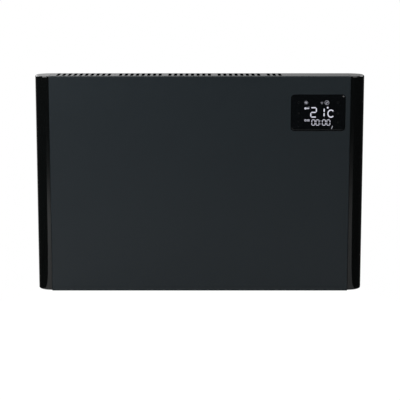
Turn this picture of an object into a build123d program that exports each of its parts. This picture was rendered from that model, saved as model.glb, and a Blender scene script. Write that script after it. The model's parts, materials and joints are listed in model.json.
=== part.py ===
from build123d import *
import os

os.makedirs("parts", exist_ok=True)

# Slim panel convector heater with a slotted top outlet and a touch display.
# Sizes are in millimetres. Seen from the front, +X is right, -Y is towards the viewer, +Z is up.
# The origin lies under the middle of the heater together with its wall bracket.

# Casing
overall_width = 640.0
overall_height = 424.0
body_depth = 71.0
casing_sheet = 1.2
casing_fold = 10.0
bend_radius = 1.8
seam = 0.3
cover_flange = 14.0
lip_reach = 7.0

# End caps
cap_width = 28.2
cap_wall = 2.2
cap_edge_radius = 1.8
cap_lift = 1.5
cap_rib_sheet = 2.0
cap_rib_reach = 5.0
cap_rib_count = 3
boss_radius = 4.0

# Outlet slots in the top cover: slots in each group, left to right
slot_width = 6.0
slot_length = 51.0
slot_corner = 1.9
slot_pitch = 11.0
slot_setback = 14.0
slot_margin = 16.3
slot_groups = (10, 8, 8, 8, 3)
first_bar = 22.3
later_bar = 19.1

# Intake slots
bottom_slot_width = 6.0
bottom_slot_length = 36.0
bottom_slot_pitch = 14.0
rear_slot_width = 6.0
rear_slot_length = 30.0
rear_slot_pitch = 15.0
rear_slot_rows = 2
rear_slot_rise = 42.0
rear_slot_height = 38.0

# Display window
window_width = 105.4
window_height = 70.5
window_corner = 7.0
window_side_margin = 10.0
window_top_margin = 35.4
lens_proud = 0.8
lens_bevel = 0.6
lens_gap = 0.4
lens_flange = 3.0
lens_flange_sheet = 1.2
gasket_sheet = 0.6
holder_depth = 15.0
holder_wall = 2.0
holder_floor = 1.6
ear_width = 12.0
ear_height = 9.0
ear_sheet = 3.0
ear_spacing = 72.0
display_board_setback = 7.0
board_sheet = 1.6
led_width = 62.0
led_height = 58.0
pad_radius = 3.5
pad_column = 37.9
pad_rows = (15.3, 36.4, 54.6)

# Inner sheet metal
side_sheet = 1.0
side_front_flange = 4.0
side_rear_flange = 12.0
electronics_width = 126.4
inner_sheet = 0.8
inner_flange = 10.0
shield_sheet = 0.6
shield_setback = 8.0
shield_bottom = 58.0
shield_top_margin = 26.0
shield_end_gap = 2.0
strap_width = 14.0

# Heating element
element_height = 118.0
element_end_space = 34.0
core_radius = 5.0
core_overhang = 14.0
fin_reach = 24.0
fin_sheet = 1.4
fin_pitch = 14.0
fin_gap = 2.4
fin_root = 4.0
stand_width = 40.0
stand_margin = 12.0
stand_foot = 15.0
bush_radius = 8.0
bush_flange_radius = 11.0
bush_length = 9.0
bush_flange = 3.0
fit_gap = 0.2
terminal_radius = 1.8
terminal_length = 12.0

# Thermal protection
cutout_radius = 8.5
cutout_length = 11.0
cutout_height = 205.0
cutout_plate_width = 30.0
cutout_plate_height = 22.0
cutout_plate_sheet = 1.0
fuse_radius = 3.0
fuse_length = 24.0
fuse_height = 172.0

# Power electronics
power_board_width = 100.0
power_board_height = 130.0
power_board_bottom = 150.0
power_board_margin = 12.0
standoff_height = 10.0
standoff_radius = 3.5
standoff_inset = 7.0
relay_size = (19.0, 15.5, 16.0)
relay_count = 2
relay_pitch = 26.0
transformer_size = (40.0, 30.0, 34.0)
capacitor_radius = 6.0
capacitor_length = 18.0
terminal_block_size = (58.0, 14.0, 16.0)
terminal_ways = 5
component_gap = 8.0

# Rear controls
switch_x_margin = 42.0
switch_height = 46.0
switch_bezel_width = 25.0
switch_bezel_height = 32.0
switch_bezel_sheet = 2.0
switch_well_width = 19.0
switch_well_height = 26.0
switch_well_depth = 7.5
switch_body_width = 21.8
switch_body_height = 28.4
switch_body_depth = 20.0
rocker_gap = 0.3
rocker_end_gap = 1.0
rocker_sheet = 5.0
rocker_tilt = 8.0
rocker_pin_radius = 1.2
rocker_pin_gap = 0.05
rocker_pin_reach = 0.7
inlet_x_margin = 88.0
inlet_height = 46.0
inlet_hole_radius = 8.0
inlet_flange_radius = 11.0
inlet_flange = 2.2
inlet_bore_radius = 4.0
inlet_collar = 3.0

# Sensors on the bottom cover
tip_switch_size = (22.0, 14.0, 18.0)
tip_switch_gap = 26.0
sensor_radius = 2.5
sensor_length = 12.0
clip_size = (6.0, 12.0, 9.0)
sensor_x_margin = 30.0

# Foot screw holes
foot_margin = 61.8
foot_hole_spacing = 36.0
foot_hole_radius = 2.1
foot_slot_margin = 20.0

# Wall bracket
wall_gap = 17.0
bracket_sheet = 1.5
rail_overhang = 40.0
rail_height = 40.0
rail_top = 330.0
bracket_play = 0.6
hook_spacing = 300.0
hook_width = 20.0
hook_slot_side = 1.0
hook_seat = 0.3
nose_height = 10.0
nose_play = 1.0
unhook_travel = 12.0
upright_width = 36.0
upright_flange = 9.0
upright_bottom = 110.0
upright_top_tab = 24.0
upright_lip = 22.0
upright_lip_gap = 2.5
wall_hole_radius = 2.75
wall_hole_rise = 50.0
buffer_radius = 7.0
buffer_gap = 0.3
rivet_radius = 2.0
rivet_hole_gap = 0.1
rivet_head_radius = 3.6
rivet_head = 1.0
rivet_spacing = 18.0

# Screws and other small round parts, which have flat sides to keep the model light
small_round_sides = 12
screw_radius = 1.45
screw_hole_radius = 1.6
screw_head_radius = 3.2
screw_head = 1.8
screw_length = 8.0
cap_screw_length = 14.0
cap_screw_count = 4
cap_screw_margin = 50.0
rear_screw_heights = (30.0, 160.0, 262.0)
countersink_radius = 2.6
countersink_depth = 1.1
nut_radius = 3.0
nut_height = 2.4
stud_length = 8.0

# Places worked out from the sizes above
overall_depth = lens_proud + body_depth + wall_gap
front_y = lens_proud - overall_depth / 2
rear_y = front_y + body_depth
wall_y = rear_y + wall_gap
mid_y = (front_y + rear_y) / 2
inner_front_y = front_y + casing_sheet
inner_rear_y = rear_y - casing_sheet
panel_half = overall_width / 2 - cap_width
inner_half = panel_half - casing_sheet
chamber_half = inner_half - side_sheet
top_z = overall_height
under_top_z = top_z - casing_sheet
lip_under_z = under_top_z - casing_sheet
rear_panel_top = top_z - cover_flange - seam
partition_x = panel_half - electronics_width
window_x = panel_half - window_side_margin - window_width / 2
window_z = top_z - window_top_margin - window_height / 2
lens_back_y = inner_front_y + gasket_sheet + lens_flange_sheet
holder_back_y = lens_back_y + holder_depth
display_board_y = lens_back_y + display_board_setback
side_screw_x = chamber_half - side_rear_flange / 2
partition_screw_x = partition_x + inner_flange / 2
top_screw_z = rear_panel_top + seam + cover_flange / 2
cover_front_y = front_y + casing_fold + seam
power_board_x = partition_x + power_board_margin + power_board_width / 2
power_board_z = power_board_bottom + power_board_height / 2
power_board_back_y = inner_rear_y - standoff_height
power_board_front_y = power_board_back_y - board_sheet
switch_x = panel_half - switch_x_margin
inlet_x = panel_half - inlet_x_margin
pivot_y = rear_y - 1.0
rail_bottom = rail_top - rail_height
rail_half = hook_spacing / 2 + rail_overhang
rail_web_front_y = wall_y - 2 * bracket_sheet
upper_wall_hole_z = rail_top + upright_top_tab / 2
lower_wall_hole_z = upright_bottom + wall_hole_rise


def block(x0, x1, y0, y1, z0, z1):
    """Box between two corners."""
    return Pos((x0 + x1) / 2, (y0 + y1) / 2, (z0 + z1) / 2) * Box(x1 - x0, y1 - y0, z1 - z0)


def slab(width, height, corner, x, z, y0, y1):
    """Upright plate with rounded corners between two depths."""
    outline = RectangleRounded(width, height, corner)
    return Pos(x, y1, z) * Rot(90, 0, 0) * extrude(outline, y1 - y0)


def rod_x(radius, x0, x1, y, z):
    return Pos((x0 + x1) / 2, y, z) * Rot(0, 90, 0) * Cylinder(radius, x1 - x0)


def rod_y(radius, y0, y1, x, z):
    return Pos(x, (y0 + y1) / 2, z) * Rot(90, 0, 0) * Cylinder(radius, y1 - y0)


def rod_z(radius, z0, z1, x, y):
    return Pos(x, y, (z0 + z1) / 2) * Cylinder(radius, z1 - z0)


def peg(radius, length):
    """Small round part with flat sides, centred on the origin and standing along Z."""
    return Pos(0, 0, -length / 2) * extrude(RegularPolygon(radius, small_round_sides), length)


def peg_x(radius, x0, x1, y, z):
    return Pos((x0 + x1) / 2, y, z) * Rot(0, 90, 0) * peg(radius, x1 - x0)


def peg_y(radius, y0, y1, x, z):
    return Pos(x, (y0 + y1) / 2, z) * Rot(90, 0, 0) * peg(radius, y1 - y0)


def peg_z(radius, z0, z1, x, y):
    return Pos(x, y, (z0 + z1) / 2) * peg(radius, z1 - z0)


def edges_at(shape, axis, **place):
    """Edges along an axis whose middles lie at the given coordinates."""
    found = shape.edges().filter_by(axis)
    return [e for e in found if all(abs(getattr(e.center(), k) - v) < 0.01 for k, v in place.items())]


def spread(low, high, count):
    """Evenly spaced places from low to high."""
    return [low + (high - low) * i / (count - 1) for i in range(count)]


def slot_places():
    """X of every outlet slot, group by group from the left end."""
    places = []
    x = -panel_half + slot_margin
    for group, count in enumerate(slot_groups):
        places += [x + slot_pitch * i for i in range(count)]
        x = places[-1] + (first_bar if group == 0 else later_bar)
    return places


def fill(low, high, pitch):
    """Places a pitch apart that fill the room between two limits, centred."""
    count = int((high - low) / pitch) + 1
    start = (low + high - pitch * (count - 1)) / 2
    return [start + pitch * i for i in range(count)]


def folded_pan(face_y, inwards, z0, z1):
    """Sheet panel with all four edges folded inwards and its outer bends rounded."""
    back_y = face_y + inwards * casing_fold
    floor_y = face_y + inwards * casing_sheet
    outer = block(-panel_half, panel_half, min(face_y, back_y), max(face_y, back_y), z0, z1)
    rim = [e for e in outer.edges() if abs(e.center().Y - face_y) < 0.01]
    outer = fillet(rim + list(outer.edges().filter_by(Axis.Y)), bend_radius)
    past_y = back_y + inwards
    inner = block(-inner_half, inner_half, min(floor_y, past_y), max(floor_y, past_y),
                  z0 + casing_sheet, z1 - casing_sheet)
    return outer - inner


def front_panel():
    pan = folded_pan(front_y, 1, 0, top_z)
    opening = slab(window_width + 2 * lens_gap, window_height + 2 * lens_gap,
                   window_corner + lens_gap, window_x, window_z, front_y - 1, inner_front_y + 1)
    studs = [peg_y(screw_radius, inner_front_y - casing_sheet / 2, inner_front_y + stud_length, x, z)
             for x, z in ear_places()]
    return pan - opening + studs


def ear_places():
    """Centres of the display holder's fixing ears, above and below the window."""
    reach = window_height / 2 + lens_flange + ear_height / 2 + seam
    return [(window_x + sx * ear_spacing / 2, window_z + sz * reach) for sx in (-1, 1) for sz in (-1, 1)]


def rear_panel():
    """Folded rear sheet with a plain top edge, intake slots, hook slots and the control openings."""
    pan = folded_pan(rear_y, -1, 0, rear_panel_top + casing_fold)
    pan -= block(-overall_width, overall_width, front_y, rear_y + 1, rear_panel_top, top_z + casing_fold)
    cuts = []
    for row in range(rear_slot_rows):
        z = rear_slot_height + rear_slot_length / 2 + row * rear_slot_rise
        for x in fill(-chamber_half + side_rear_flange + rear_slot_pitch,
                      partition_x - rear_slot_pitch, rear_slot_pitch):
            cuts.append(block(x - rear_slot_width / 2, x + rear_slot_width / 2,
                              inner_rear_y - 1, rear_y + 1, z - rear_slot_length / 2, z + rear_slot_length / 2))
    half = hook_width / 2 + hook_slot_side
    for side in (-1, 1):
        x = side * hook_spacing / 2
        low = rail_top - bracket_sheet - unhook_travel - hook_slot_side
        cuts.append(block(x - half, x + half, inner_rear_y - 1, rear_y + 1, low, rail_top + hook_seat))
    cuts.append(block(switch_x - switch_body_width / 2 - fit_gap, switch_x + switch_body_width / 2 + fit_gap,
                      inner_rear_y - 1, rear_y + 1,
                      switch_height - switch_body_height / 2 - fit_gap,
                      switch_height + switch_body_height / 2 + fit_gap))
    cuts.append(rod_y(inlet_hole_radius, inner_rear_y - 1, rear_y + 1, inlet_x, inlet_height))
    cuts += [peg_y(screw_hole_radius, inner_rear_y - 1, rear_y + 1, x, z) for x, z in rear_screw_places()]
    return pan - cuts


def rear_screw_places():
    """Screws of the rear panel into the side plates and the partition."""
    columns = (-side_screw_x, partition_screw_x, side_screw_x)
    return [(x, z) for x in columns for z in rear_screw_heights]


def cover_screw_places():
    """Screws of the top cover's rear flange into the side plates."""
    return [(side * side_screw_x, top_screw_z) for side in (-1, 1)]


def top_strap_x():
    """The bar between the first two slot groups, where the top screw sits."""
    places = slot_places()
    return (places[slot_groups[0] - 1] + places[slot_groups[0]]) / 2


def top_grille():
    """Top cover: a flat plate with the outlet slots, a stepped front lip and a folded rear flange."""
    half = panel_half - seam
    inner = chamber_half - seam
    plate = block(-half, half, cover_front_y, rear_y, under_top_z, top_z)
    flange = block(-half, half, inner_rear_y, rear_y, top_z - cover_flange, top_z)
    step = block(-inner, inner, cover_front_y, cover_front_y + casing_sheet, lip_under_z, top_z)
    lip = block(-inner, inner, cover_front_y - lip_reach, cover_front_y + casing_sheet,
                lip_under_z, under_top_z)
    cover = plate + flange + step + lip
    cover = fillet(edges_at(cover, Axis.X, Y=rear_y, Z=top_z), bend_radius)
    slot_y = front_y + slot_setback + slot_length / 2
    outline = chamfer(Rectangle(slot_width, slot_length).vertices(), slot_corner)
    slots = [Pos(x, slot_y, under_top_z - 1) * extrude(outline, casing_sheet + 2) for x in slot_places()]
    holes = [peg_y(screw_hole_radius, inner_rear_y - 1, rear_y + 1, x, z) for x, z in cover_screw_places()]
    seat = Pos(top_strap_x(), slot_y, top_z - countersink_depth / 2) * Cone(
        screw_hole_radius, countersink_radius + fit_gap, countersink_depth)
    through = peg_z(screw_hole_radius, under_top_z - 1, top_z, top_strap_x(), slot_y)
    return cover - slots - holes - seat - through


def top_screw():
    """Countersunk screw in the bar between the first two slot groups."""
    y = front_y + slot_setback + slot_length / 2
    head = Pos(top_strap_x(), y, top_z - countersink_depth / 2) * Cone(
        screw_radius, countersink_radius, countersink_depth)
    shank = peg_z(screw_radius, top_z - countersink_depth - screw_length, top_z - countersink_depth / 2,
                  top_strap_x(), y)
    return head + shank


def cover_strap():
    """Sheet strap under the top cover that takes the top screw and stiffens the outlet."""
    x = top_strap_x()
    start_y = cover_front_y + casing_sheet + seam
    low, high = x - strap_width / 2, x + strap_width / 2
    bar = block(low, high, start_y, inner_rear_y, under_top_z - inner_sheet, under_top_z)
    rear_leg = block(low, high, inner_rear_y - inner_sheet, inner_rear_y,
                     top_z - cover_flange, under_top_z)
    front_leg = block(low, high, start_y, start_y + inner_sheet, top_z - cover_flange, under_top_z)
    hole = peg_z(screw_radius + rivet_hole_gap, under_top_z - inner_sheet - 1, under_top_z + 1, x,
                 front_y + slot_setback + slot_length / 2)
    return bar + rear_leg + front_leg - hole


def bottom_grille():
    """Bottom cover, flush with the panels' folds, with intake slots and foot screw holes."""
    half = chamber_half
    low_y, high_y = cover_front_y, rear_y - casing_fold - seam
    plate = block(-half, half, low_y, high_y, 0, casing_sheet)
    for edge_y, way in ((low_y, 1), (high_y, -1)):
        inside_y = edge_y + way * casing_sheet
        outside_y = edge_y - way * lip_reach
        plate += block(-half, half, min(edge_y, inside_y), max(edge_y, inside_y), 0, 2 * casing_sheet)
        plate += block(-half, half, min(outside_y, inside_y), max(outside_y, inside_y),
                       casing_sheet, 2 * casing_sheet)
    foot_x = panel_half - foot_margin
    slots = [block(x - bottom_slot_width / 2, x + bottom_slot_width / 2,
                   mid_y - bottom_slot_length / 2, mid_y + bottom_slot_length / 2, -1, casing_sheet + 1)
             for x in fill(-foot_x + foot_slot_margin, partition_x - element_end_space - foot_slot_margin,
                           bottom_slot_pitch)]
    holes = [rod_z(foot_hole_radius, -1, casing_sheet + 1, side * foot_x, mid_y + way * foot_hole_spacing / 2)
             for side in (-1, 1) for way in (-1, 1)]
    return plate - slots - holes


def cap_section(inset):
    """Plan outline of the right end cap, drawn in by a wall: half an oval with a flat side."""
    radius = cap_width - inset
    oval = Pos(panel_half, mid_y) * SlotOverall(body_depth - 2 * inset, 2 * radius, rotation=90)
    return oval & Pos(panel_half + cap_width, mid_y) * Rectangle(2 * cap_width, 2 * body_depth)


def end_cap():
    """Right end cap: a moulded shell, open towards the casing, with ribs and screw bosses."""
    shell = Pos(0, 0, cap_lift) * extrude(cap_section(0), top_z - cap_lift)
    ends = [e for e in shell.edges() if min(abs(e.center().Z - cap_lift), abs(e.center().Z - top_z)) < 0.01]
    shell = fillet([e for e in ends if e.center().X > panel_half + 1], cap_edge_radius)
    hollow_height = top_z - cap_lift - 2 * cap_wall
    shell -= Pos(0, 0, cap_lift + cap_wall) * extrude(cap_section(cap_wall), hollow_height)
    rib_outline = cap_section(cap_wall / 2) - cap_section(cap_wall + cap_rib_reach)
    heights = spread(cap_lift, top_z, cap_rib_count + 2)[1:-1]
    for z in heights:
        shell += Pos(0, 0, z - cap_rib_sheet / 2) * extrude(rib_outline, cap_rib_sheet)
    outer_x = overall_width / 2 - cap_wall / 2
    for z in cap_screw_heights():
        shell += peg_x(boss_radius, inner_half, outer_x, mid_y, z)
        shell -= peg_x(screw_radius + rivet_hole_gap, inner_half - 1, inner_half + cap_screw_length, mid_y, z)
    return shell


def cap_screw_heights():
    return spread(cap_screw_margin, top_z - cap_screw_margin, cap_screw_count)


def side_plate():
    """Right side plate: a sheet channel between the panels that carries the end cap."""
    plate = block(chamber_half, inner_half, inner_front_y, inner_rear_y, casing_sheet, under_top_z)
    plate += block(chamber_half - side_front_flange, inner_half, inner_front_y, inner_front_y + side_sheet,
                   casing_sheet, under_top_z)
    plate += block(chamber_half - side_rear_flange, inner_half, inner_rear_y - side_sheet, inner_rear_y,
                   casing_sheet, under_top_z)
    holes = [peg_x(screw_hole_radius, chamber_half - 1, inner_half + 1, mid_y, z)
             for z in cap_screw_heights()]
    rear = [(side_screw_x, z) for z in rear_screw_heights] + [(side_screw_x, top_screw_z)]
    holes += [peg_y(screw_radius + rivet_hole_gap, inner_rear_y - side_sheet - 1, inner_rear_y + 1, x, z)
              for x, z in rear]
    return plate - holes


def partition_plate():
    """Sheet wall between the hot chamber and the electronics."""
    low, high = 2 * casing_sheet, lip_under_z - seam
    wall = block(partition_x - inner_sheet, partition_x, inner_front_y + seam, inner_rear_y, low, high)
    wall += block(partition_x - inner_sheet, partition_x + inner_flange,
                  inner_rear_y - inner_sheet, inner_rear_y, low, high)
    wall += block(partition_x - inner_sheet, partition_x + inner_flange,
                  cover_front_y, inner_rear_y, low, low + inner_sheet)
    holes = [peg_y(screw_radius + rivet_hole_gap, inner_rear_y - inner_sheet - 1, inner_rear_y + 1,
                   partition_screw_x, z) for z in rear_screw_heights]
    holes.append(rod_x(bush_radius, partition_x - inner_sheet - 1, partition_x + 1, mid_y, element_height))
    return wall - holes


def heat_shield(panel_y, inwards):
    """Bright sheet held off a panel by folds along its top and bottom."""
    face_y = panel_y + inwards * shield_setback
    skin_y = face_y + inwards * shield_sheet
    low, high = shield_bottom, top_z - shield_top_margin
    left = -chamber_half + side_rear_flange + shield_end_gap
    right = partition_x - inner_sheet - shield_end_gap
    shield = block(left, right, min(face_y, skin_y), max(face_y, skin_y), low, high)
    near, far = min(panel_y, skin_y), max(panel_y, skin_y)
    shield += block(left, right, near, far, low, low + shield_sheet)
    return shield + block(left, right, near, far, high - shield_sheet, high)


def element_span():
    """Ends of the finned length of the heating element."""
    return (-chamber_half + element_end_space, partition_x - inner_sheet - element_end_space)


def heating_element():
    """Aluminium element: a core tube with four rows of notched fins set in a cross."""
    left, right = element_span()
    length = right - left
    body = rod_x(core_radius, left - core_overhang, right + core_overhang, mid_y, element_height)
    wing = Pos(0, (core_radius / 2 + fin_reach) / 2) * Rectangle(length, fin_reach - core_radius / 2)
    depth = fin_reach - core_radius - fin_root
    notches = [Pos(x, fin_reach - depth / 2 + 1) * Rectangle(fin_gap, depth + 2)
               for x in fill(-length / 2 + fin_pitch / 2, length / 2 - fin_pitch / 2, fin_pitch)]
    comb = Pos(0, 0, -fin_sheet / 2) * extrude(wing - notches, fin_sheet)
    for quarter in range(4):
        body += Pos((left + right) / 2, mid_y, element_height) * Rot(45 + 90 * quarter, 0, 0) * comb
    return body


def stand_places():
    """X of the outer face of each element stand, and the side that its foot points to."""
    left, right = element_span()
    return ((left - core_overhang / 2, 1), (right + core_overhang / 2, -1))


def element_stand(x, way):
    """Sheet stand with a foot on the bottom cover and a hole for the ceramic bush."""
    face = x + way * inner_sheet
    foot = x + way * stand_foot
    low, high = casing_sheet, element_height + bush_radius + stand_margin
    stand = block(min(x, face), max(x, face), mid_y - stand_width / 2, mid_y + stand_width / 2, low, high)
    stand += block(min(x, foot), max(x, foot), mid_y - stand_width / 2, mid_y + stand_width / 2,
                   low, low + inner_sheet)
    return stand - rod_x(bush_radius + fit_gap, x - 2, x + 2, mid_y, element_height)


def element_bushes():
    """Ceramic bushes that hold the ends of the core in the stands."""
    bushes = []
    for x, way in stand_places():
        outer = x - way * bush_flange
        inner = x + way * (bush_length - bush_flange)
        flange = rod_x(bush_flange_radius, min(outer, x), max(outer, x), mid_y, element_height)
        spigot = rod_x(bush_radius, min(outer, inner), max(outer, inner), mid_y, element_height)
        bore = rod_x(core_radius + fit_gap, min(outer, inner) - 1, max(outer, inner) + 1,
                     mid_y, element_height)
        bushes.append(flange + spigot - bore)
    return bushes


def element_terminals():
    """Terminal pins at both ends of the core."""
    left, right = element_span()
    ends = ((left - core_overhang - terminal_length, left - core_overhang),
            (right + core_overhang, right + core_overhang + terminal_length))
    return [peg_x(terminal_radius, low, high, mid_y, element_height) for low, high in ends]


def thermal_cutout():
    """Round bimetal cut-out on its fixing plate, on the hot side of the partition."""
    face = partition_x - inner_sheet
    plate = block(face - cutout_plate_sheet, face, mid_y - cutout_plate_width / 2,
                  mid_y + cutout_plate_width / 2, cutout_height - cutout_plate_height / 2,
                  cutout_height + cutout_plate_height / 2)
    return plate + rod_x(cutout_radius, face - cutout_length, face, mid_y, cutout_height)


def thermal_fuse():
    """Sleeved one-shot fuse lying against the partition."""
    x = partition_x - inner_sheet - fuse_radius
    return rod_y(fuse_radius, mid_y - fuse_length / 2, mid_y + fuse_length / 2, x, fuse_height)


def display_lens():
    """Gloss window: bevelled front that stands proud of the panel, with a flange behind it."""
    front = slab(window_width, window_height, window_corner, window_x, window_z,
                 front_y - lens_proud, lens_back_y)
    rim = [e for e in front.edges() if abs(e.center().Y - front_y + lens_proud) < 0.01]
    front = chamfer(rim, lens_bevel)
    return front + slab(window_width + 2 * lens_flange, window_height + 2 * lens_flange,
                        window_corner + lens_flange, window_x, window_z,
                        lens_back_y - lens_flange_sheet, lens_back_y)


def display_gasket():
    """Foam ring between the panel and the window's flange."""
    ring = slab(window_width + 2 * lens_flange, window_height + 2 * lens_flange,
                window_corner + lens_flange, window_x, window_z, inner_front_y, inner_front_y + gasket_sheet)
    return ring - slab(window_width + 2 * lens_gap, window_height + 2 * lens_gap,
                       window_corner + lens_gap, window_x, window_z,
                       inner_front_y - 1, inner_front_y + gasket_sheet + 1)


def display_holder():
    """Moulded tray that presses the window into its opening, with four ears on the panel's studs."""
    width = window_width + 2 * lens_flange
    height = window_height + 2 * lens_flange
    tray = slab(width, height, window_corner, window_x, window_z, lens_back_y, holder_back_y)
    tray -= slab(width - 2 * holder_wall, height - 2 * holder_wall, window_corner - holder_wall,
                 window_x, window_z, lens_back_y - 1, holder_back_y - holder_floor)
    for x, z in ear_places():
        inner_z = z + (1 if z < window_z else -1) * (ear_height / 2 + seam + holder_wall / 2)
        outer_z = z + (-1 if z < window_z else 1) * ear_height / 2
        low, high = min(inner_z, outer_z), max(inner_z, outer_z)
        tray += block(x - ear_width / 2, x + ear_width / 2, lens_back_y, lens_back_y + ear_sheet, low, high)
        foot = ear_height / 2
        tray += block(x - ear_width / 2, x + ear_width / 2, inner_front_y, lens_back_y + ear_sheet,
                      z - foot, z + foot)
        tray -= peg_y(screw_hole_radius, inner_front_y - 1, lens_back_y + ear_sheet + 1, x, z)
    return tray


def display_nuts():
    """Nuts on the studs that hold the display holder."""
    start = lens_back_y + ear_sheet
    nuts = []
    for x, z in ear_places():
        flats = extrude(RegularPolygon(nut_radius, 6), nut_height)
        nut = Pos(x, start + nut_height, z) * Rot(90, 0, 0) * flats
        nuts.append(nut - peg_y(screw_radius + rivet_hole_gap, start - 1, start + nut_height + 1, x, z))
    return nuts


def display_board():
    """Circuit board in the holder, behind the lit digits."""
    width = window_width + 2 * lens_flange - 2 * holder_wall - 2 * fit_gap
    height = window_height + 2 * lens_flange - 2 * holder_wall - 2 * fit_gap
    return slab(width, height, window_corner - holder_wall, window_x, window_z,
                display_board_y, display_board_y + board_sheet)


def led_module():
    """Segment display block between the window and the board."""
    return block(window_x - led_width / 2, window_x + led_width / 2, lens_back_y + fit_gap, display_board_y,
                 window_z - led_height / 2, window_z + led_height / 2)


def touch_pads():
    """Sprung touch contacts between the board and the window, in two columns."""
    top = window_z + window_height / 2
    return [peg_y(pad_radius, lens_back_y, display_board_y, window_x + side * pad_column, top - row)
            for side in (-1, 1) for row in pad_rows]


def power_board():
    return block(power_board_x - power_board_width / 2, power_board_x + power_board_width / 2,
                 power_board_front_y, power_board_back_y,
                 power_board_bottom, power_board_bottom + power_board_height)


def standoff_places():
    across = power_board_width / 2 - standoff_inset
    along = power_board_height / 2 - standoff_inset
    return [(power_board_x + sx * across, power_board_z + sz * along) for sx in (-1, 1) for sz in (-1, 1)]


def board_standoffs():
    """Pillars between the rear panel and the power board."""
    return [peg_y(standoff_radius, power_board_back_y, inner_rear_y, x, z) for x, z in standoff_places()]


def board_block(size, x, z):
    """Component standing on the power board's front face; size is width, depth and height."""
    width, depth, height = size
    return block(x - width / 2, x + width / 2, power_board_front_y - depth, power_board_front_y,
                 z - height / 2, z + height / 2)


def relays():
    x0 = power_board_x + power_board_width / 2 - standoff_inset - component_gap - relay_size[0] / 2
    z = power_board_z + power_board_height / 2 - component_gap - relay_size[2] / 2
    return [board_block(relay_size, x0 - i * relay_pitch, z) for i in range(relay_count)]


def transformer():
    x = power_board_x - power_board_width / 2 + component_gap + transformer_size[0] / 2
    return board_block(transformer_size, x, power_board_z)


def capacitors():
    """Two round capacitors beside the transformer."""
    x = power_board_x - power_board_width / 2 + 2 * component_gap + transformer_size[0] + capacitor_radius
    pitch = 2 * capacitor_radius + component_gap / 2
    return [rod_y(capacitor_radius, power_board_front_y - capacitor_length, power_board_front_y,
                  x, power_board_z + side * pitch / 2) for side in (-1, 1)]


def terminal_block():
    """Screw terminal block along the board's lower edge, with its wire entries."""
    z = power_board_bottom + component_gap + terminal_block_size[2] / 2
    body = board_block(terminal_block_size, power_board_x, z)
    width = terminal_block_size[0]
    pitch = width / terminal_ways
    entry = pitch / 3
    mid = power_board_front_y - terminal_block_size[1] / 2
    low = z - terminal_block_size[2] / 2
    for i in range(terminal_ways):
        x = power_board_x - width / 2 + pitch * (i + 0.5)
        body -= block(x - entry / 2 - 1, x + entry / 2 + 1, mid - entry / 2, mid + entry / 2, low - 1, low + 6)
    return body


def cord_inlet_bush():
    """Snap-in bush for the supply cord: outer flange, neck and inner collar round a bore."""
    bush = rod_y(inlet_flange_radius, rear_y, rear_y + inlet_flange, inlet_x, inlet_height)
    bush += rod_y(inlet_hole_radius - fit_gap, inner_rear_y - inlet_collar, rear_y + inlet_flange,
                  inlet_x, inlet_height)
    bush += rod_y(inlet_hole_radius + 1, inner_rear_y - inlet_collar, inner_rear_y, inlet_x, inlet_height)
    return bush - rod_y(inlet_bore_radius, inner_rear_y - inlet_collar - 1, rear_y + inlet_flange + 1,
                        inlet_x, inlet_height)


def switch_body():
    """Rocker switch housing: bezel outside the rear panel, body inside, and the rocker's well."""
    body = slab(switch_bezel_width, switch_bezel_height, 2.0, switch_x, switch_height,
                rear_y, rear_y + switch_bezel_sheet)
    body += block(switch_x - switch_body_width / 2, switch_x + switch_body_width / 2,
                  rear_y - switch_body_depth, rear_y,
                  switch_height - switch_body_height / 2, switch_height + switch_body_height / 2)
    body -= block(switch_x - switch_well_width / 2, switch_x + switch_well_width / 2,
                  rear_y - switch_well_depth, rear_y + switch_bezel_sheet + 1,
                  switch_height - switch_well_height / 2, switch_height + switch_well_height / 2)
    reach = switch_well_width / 2 + rocker_pin_reach
    return body - rod_x(rocker_pin_radius + rocker_pin_gap, switch_x - reach, switch_x + reach,
                        pivot_y, switch_height)


def switch_rocker():
    """Rocker with a shallow V face and two stub pins, tilted to its off position."""
    half = switch_well_height / 2 - rocker_end_gap
    crown = rear_y + switch_bezel_sheet
    tip = crown + half * tan_degrees(rocker_tilt)
    under = crown - rocker_sheet
    face = Polygon((under, -half), (tip, -half), (crown, 0), (tip, half), (under, half), align=None)
    width = switch_well_width - 2 * rocker_gap
    rocker = extrude(Plane.YZ.offset(switch_x - width / 2) * Pos(0, switch_height) * face, width)
    reach = switch_well_width / 2 + rocker_pin_reach - rocker_gap / 2
    rocker += rod_x(rocker_pin_radius, switch_x - reach, switch_x + reach, pivot_y, switch_height)
    pivot = Pos(switch_x, pivot_y, switch_height)
    return pivot * Rot(-rocker_tilt, 0, 0) * pivot.inverse() * rocker


def tan_degrees(angle):
    """Tangent of a small angle, as the rise of a unit vector turned by it."""
    turned = Vector(1, 0, 0).rotate(Axis.Z, angle)
    return turned.Y / turned.X


def tip_over_switch():
    width, depth, height = tip_switch_size
    x = partition_x + inner_flange + tip_switch_gap
    return block(x - width / 2, x + width / 2, mid_y - depth / 2, mid_y + depth / 2,
                 casing_sheet, casing_sheet + height)


def sensor_clip():
    width, depth, height = clip_size
    x = panel_half - sensor_x_margin
    clip = block(x - width / 2, x + width / 2, mid_y - depth / 2, mid_y + depth / 2,
                 casing_sheet, casing_sheet + height)
    return clip - rod_x(sensor_radius + fit_gap, x - width, x + width, mid_y, sensor_z())


def sensor_z():
    return casing_sheet + clip_size[2] - sensor_radius - 1.5


def room_sensor():
    x = panel_half - sensor_x_margin
    return rod_x(sensor_radius, x - sensor_length / 2, x + sensor_length / 2, mid_y, sensor_z())


def pan_screw_y(x, z):
    """Pan-head screw entering from behind."""
    return (peg_y(screw_head_radius, rear_y, rear_y + screw_head, x, z)
            + peg_y(screw_radius, rear_y - screw_length, rear_y + screw_head / 2, x, z))


def rear_screws():
    return [pan_screw_y(x, z) for x, z in rear_screw_places() + cover_screw_places()]


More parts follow.
